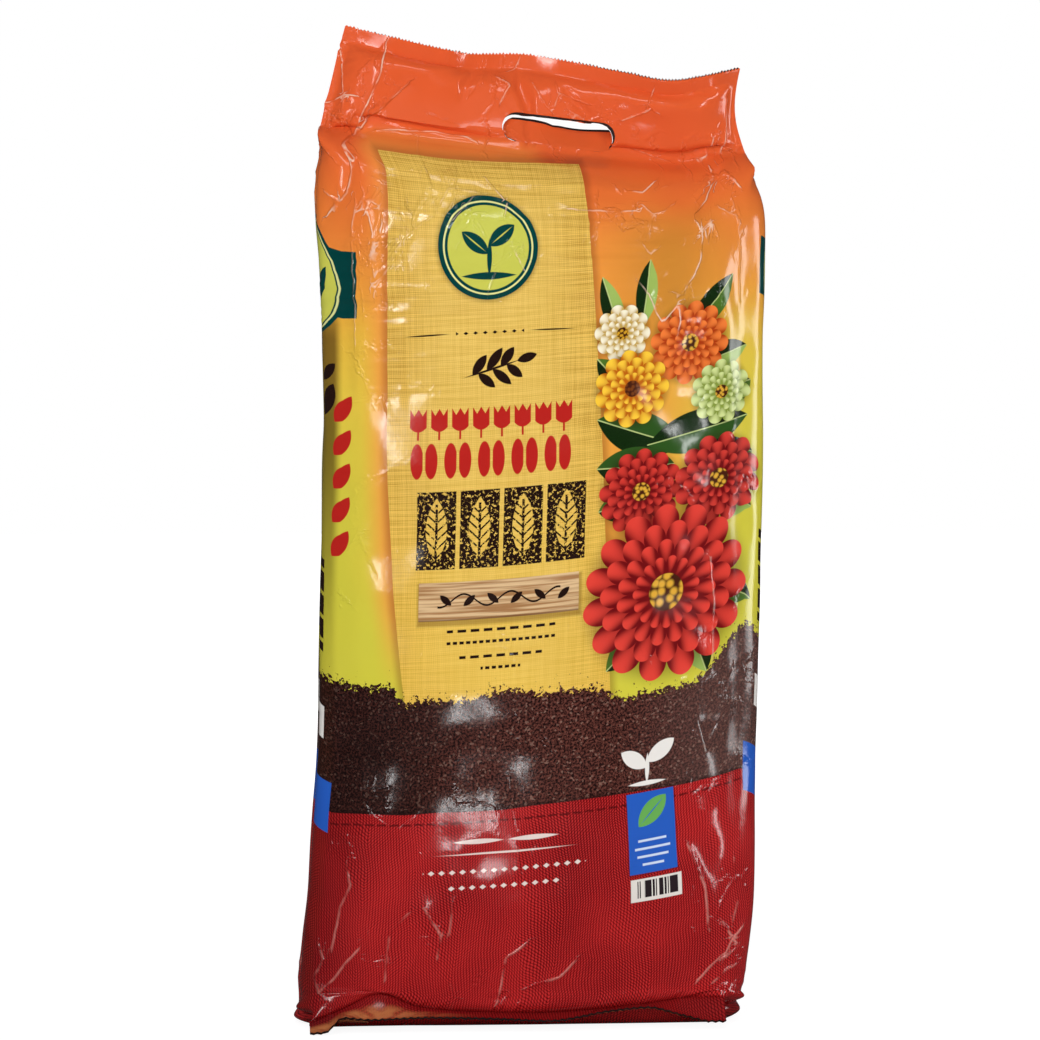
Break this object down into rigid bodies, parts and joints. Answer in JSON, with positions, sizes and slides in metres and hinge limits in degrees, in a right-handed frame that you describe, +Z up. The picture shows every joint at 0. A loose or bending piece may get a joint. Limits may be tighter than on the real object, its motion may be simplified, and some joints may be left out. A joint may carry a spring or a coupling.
{
  "type": "compost bag",
  "caption": "Filled and sealed side-gusset bag of printed film for compost, with a welded header and a punched hand slot.",
  "frame": {"origin": "middle of the flat base, on the surface that the bag stands on", "axes": "+Z up to the header; -Y is the front panel; +X to the right of someone who faces the front"},
  "size_m": [0.3209, 0.1264, 0.69],
  "materials": {
    "printed_film": "glossy printed polyethylene film, wrinkled"
  },
  "bodies": {
    "root": {"compost_bag": "printed_film"}
  },
  "joints": []
}
